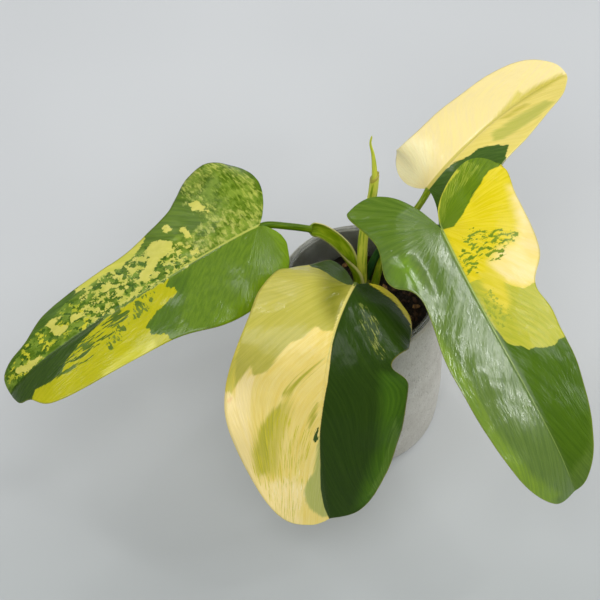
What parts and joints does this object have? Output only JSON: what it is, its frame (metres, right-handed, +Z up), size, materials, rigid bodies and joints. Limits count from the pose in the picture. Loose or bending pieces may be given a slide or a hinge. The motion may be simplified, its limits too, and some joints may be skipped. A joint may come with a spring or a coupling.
{
  "type": "potted variegated fiddle-leaf philodendron",
  "caption": "Young potted aroid with long, waisted, marbled cream and green leaves on slender stalks, in a clear nursery pot hung in a plain grey cover pot.",
  "frame": {"origin": "centre of the cover pot's foot, on the surface that the pot stands on", "axes": "+Z up; +X to the right and +Y away from the camera in the picture's view, so the plant spreads furthest along X"},
  "size_m": [0.3254, 0.2734, 0.2101],
  "materials": {
    "cover_pot": "matt cast cement with fine darker specks",
    "nursery_pot": "thin clear plastic",
    "potting_mix": "damp, coarse bark and peat",
    "main_stem": "smooth green stem with leaf scars",
    "dry_scale": "dry papery brown",
    "petiole": "smooth green with fine pale lines",
    "shoot": "smooth yellow and green stripes",
    "leaf_left": "glossy green marbled with yellow-lime",
    "leaf_front": "half cream with lime streaks, half dark green",
    "leaf_right": "glossy green with a yellow and cream sector",
    "leaf_back": "satin cream with a green sector"
  },
  "bodies": {
    "root": {"cover_pot": "cover_pot", "nursery_pot": "nursery_pot", "potting_mix": "potting_mix", "main_stem": "main_stem", "dry_scale": "dry_scale", "petiole_left": "petiole", "petiole_front": "petiole", "petiole_right": "petiole", "petiole_back": "petiole", "shoot_sheath": "shoot", "new_leaf_spear": "shoot", "leaf_left": "leaf_left", "leaf_front": "leaf_front", "leaf_right": "leaf_right", "leaf_back": "leaf_back"}
  },
  "joints": []
}
